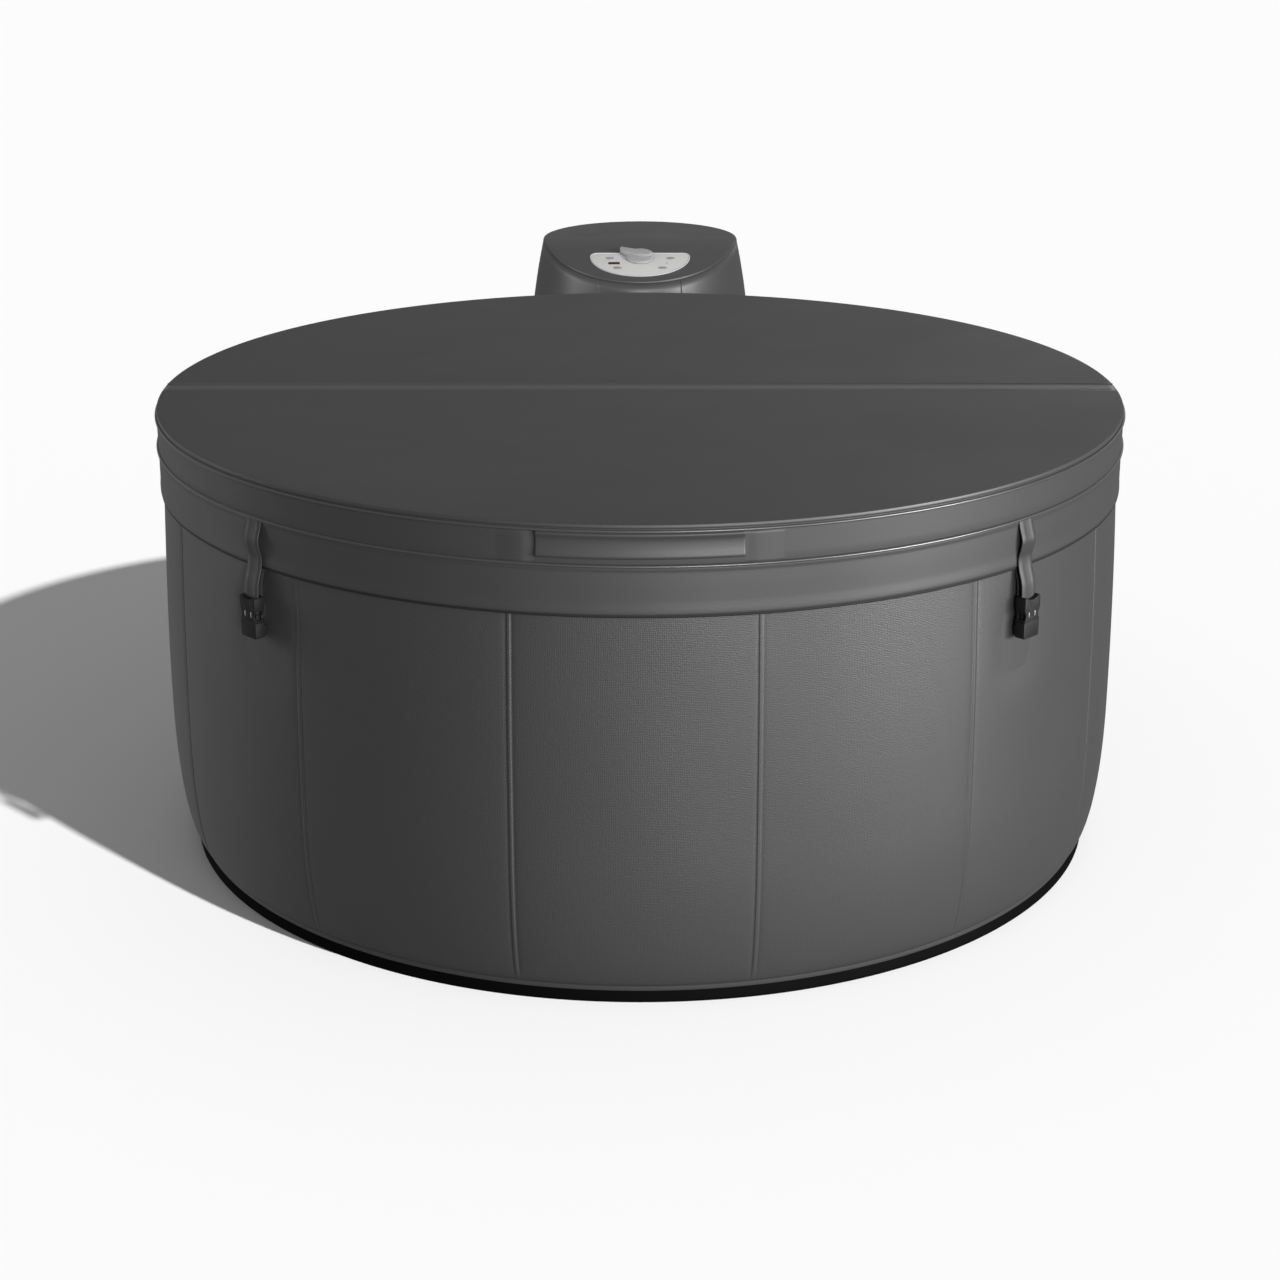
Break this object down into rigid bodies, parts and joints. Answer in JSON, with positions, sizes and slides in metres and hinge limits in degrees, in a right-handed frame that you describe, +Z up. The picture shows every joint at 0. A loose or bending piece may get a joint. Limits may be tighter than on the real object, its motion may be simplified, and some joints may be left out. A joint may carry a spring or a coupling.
{
  "type": "soft-sided hot tub",
  "caption": "Round soft-sided portable hot tub with a two-part folding cover, buckled cover locks and a separate power pack.",
  "frame": {"origin": "on the tub's axis at the underside of its base band", "axes": "+Z up, the front with the handle faces -Y, the power pack stands at +Y"},
  "size_m": [1.5076, 2.0589, 0.752],
  "materials": {
    "base_rubber": "matte",
    "foam": "matte",
    "jacket_vinyl": "satin",
    "liner_vinyl": "satin",
    "cover_vinyl": "satin",
    "white_plastic": "satin",
    "hose_vinyl": "satin",
    "clear_lens": "gloss",
    "filter_media": "matte",
    "black_plastic": "satin",
    "webbing": "matte",
    "pack_plastic": "satin",
    "panel_plastic": "satin",
    "display_red": "gloss",
    "motor_metal": "satin",
    "exchanger_metal": "satin",
    "box_plastic": "matte",
    "gland_rubber": "matte"
  },
  "bodies": {
    "tub": {"base_band": "base_rubber", "floor_pad": "foam", "wall_core": "foam", "outer_jacket": "jacket_vinyl", "rim_bead": "jacket_vinyl", "liner": "liner_vinyl", "jet_body_left": "white_plastic", "jet_body_right": "white_plastic", "suction_fitting": "white_plastic", "return_fitting": "white_plastic", "filter_housing": "white_plastic", "jet_manifold": "hose_vinyl", "suction_hose": "hose_vinyl", "return_hose": "hose_vinyl", "light_lens": "clear_lens", "filter_cartridge": "filter_media", "drain_fitting": "black_plastic", "pack_base": "black_plastic", "pump_wet_end": "black_plastic", "lock_webbing_front_left": "webbing", "lock_webbing_front_right": "webbing", "lock_webbing_rear_right": "webbing", "lock_webbing_rear_left": "webbing", "pack_shell_front": "pack_plastic", "pack_shell_rear": "pack_plastic", "pack_top_cap": "pack_plastic", "control_panel": "panel_plastic", "display_window": "display_red", "pump_motor": "motor_metal", "heat_exchanger": "exchanger_metal", "control_box": "box_plastic", "cord_gland": "gland_rubber"},
    "cover_rear": {"cover_foam_rear": "foam", "cover_shell_rear": "cover_vinyl", "cover_skirt_rear": "cover_vinyl", "cover_fold_strip": "cover_vinyl", "lock_strap_rear_right": "cover_vinyl", "buckle_socket_rear_right": "black_plastic", "lock_strap_rear_left": "cover_vinyl", "buckle_socket_rear_left": "black_plastic"},
    "cover_front": {"cover_foam_front": "foam", "cover_shell_front": "cover_vinyl", "cover_skirt_front": "cover_vinyl", "cover_handle": "cover_vinyl", "lock_strap_front_left": "cover_vinyl", "buckle_socket_front_left": "black_plastic", "lock_strap_front_right": "cover_vinyl", "buckle_socket_front_right": "black_plastic"},
    "plug_front_left": {"buckle_plug_front_left": "black_plastic"},
    "plug_front_right": {"buckle_plug_front_right": "black_plastic"},
    "plug_rear_right": {"buckle_plug_rear_right": "black_plastic"},
    "plug_rear_left": {"buckle_plug_rear_left": "black_plastic"},
    "dial_body": {"dial": "white_plastic"},
    "key_mode": {"button_mode": "panel_plastic"},
    "key_lower": {"button_lower": "panel_plastic"},
    "key_jets": {"button_jets": "panel_plastic"},
    "key_light": {"button_light": "panel_plastic"},
    "nozzle_left": {"jet_nozzle_left": "white_plastic"},
    "nozzle_right": {"jet_nozzle_right": "white_plastic"},
    "drain_cap_body": {"drain_cap": "black_plastic"}
  },
  "joints": [
    {"name": "cover_lift", "type": "slide", "parent": "tub", "child": "cover_rear", "axis": [0, 0, 1], "range_m": [0, 0.35]},
    {"name": "cover_fold", "type": "hinge", "parent": "cover_rear", "child": "cover_front", "pos_m": [0, 0, 0.7015], "axis": [-1, 0, 0], "range_deg": [0, 180]},
    {"name": "buckle_release_front_left", "type": "slide", "parent": "tub", "child": "plug_front_left", "axis": [0, 0, -1], "range_m": [0, 0.028], "deforming": ["lock_webbing_front_left"]},
    {"name": "buckle_release_front_right", "type": "slide", "parent": "tub", "child": "plug_front_right", "axis": [0, 0, -1], "range_m": [0, 0.028], "deforming": ["lock_webbing_front_right"]},
    {"name": "buckle_release_rear_right", "type": "slide", "parent": "tub", "child": "plug_rear_right", "axis": [0, 0, -1], "range_m": [0, 0.028], "deforming": ["lock_webbing_rear_right"]},
    {"name": "buckle_release_rear_left", "type": "slide", "parent": "tub", "child": "plug_rear_left", "axis": [0, 0, -1], "range_m": [0, 0.028], "deforming": ["lock_webbing_rear_left"]},
    {"name": "dial_turn", "type": "hinge", "parent": "tub", "child": "dial_body", "pos_m": [0, 0.92954, 0.73343], "axis": [0, -0.3091, 0.951], "range_deg": [-90, 135]},
    {"name": "press_mode", "type": "slide", "parent": "tub", "child": "key_mode", "axis": [0, 0.3091, -0.951], "range_m": [0, 0.0015], "stiffness_N_per_m": 400, "springref_m": -0.002},
    {"name": "press_lower", "type": "slide", "parent": "tub", "child": "key_lower", "axis": [0, 0.3091, -0.951], "range_m": [0, 0.0015], "stiffness_N_per_m": 400, "springref_m": -0.002},
    {"name": "press_jets", "type": "slide", "parent": "tub", "child": "key_jets", "axis": [0, 0.3091, -0.951], "range_m": [0, 0.0015], "stiffness_N_per_m": 400, "springref_m": -0.002},
    {"name": "press_light", "type": "slide", "parent": "tub", "child": "key_light", "axis": [0, 0.3091, -0.951], "range_m": [0, 0.0015], "stiffness_N_per_m": 400, "springref_m": -0.002},
    {"name": "nozzle_swivel_left", "type": "hinge", "parent": "tub", "child": "nozzle_left", "pos_m": [-0.39467, 0.47035, 0.36], "axis": [0, 0, 1], "range_deg": [-15, 15]},
    {"name": "nozzle_swivel_right", "type": "hinge", "parent": "tub", "child": "nozzle_right", "pos_m": [0.39467, 0.47035, 0.36], "axis": [0, 0, 1], "range_deg": [-15, 15]},
    {"name": "drain_cap_turn", "type": "hinge", "parent": "tub", "child": "drain_cap_body", "pos_m": [-0.3568, 0.67104, 0.075], "axis": [-0.4695, 0.8829, 0], "range_deg": [0, 270]}
  ]
}
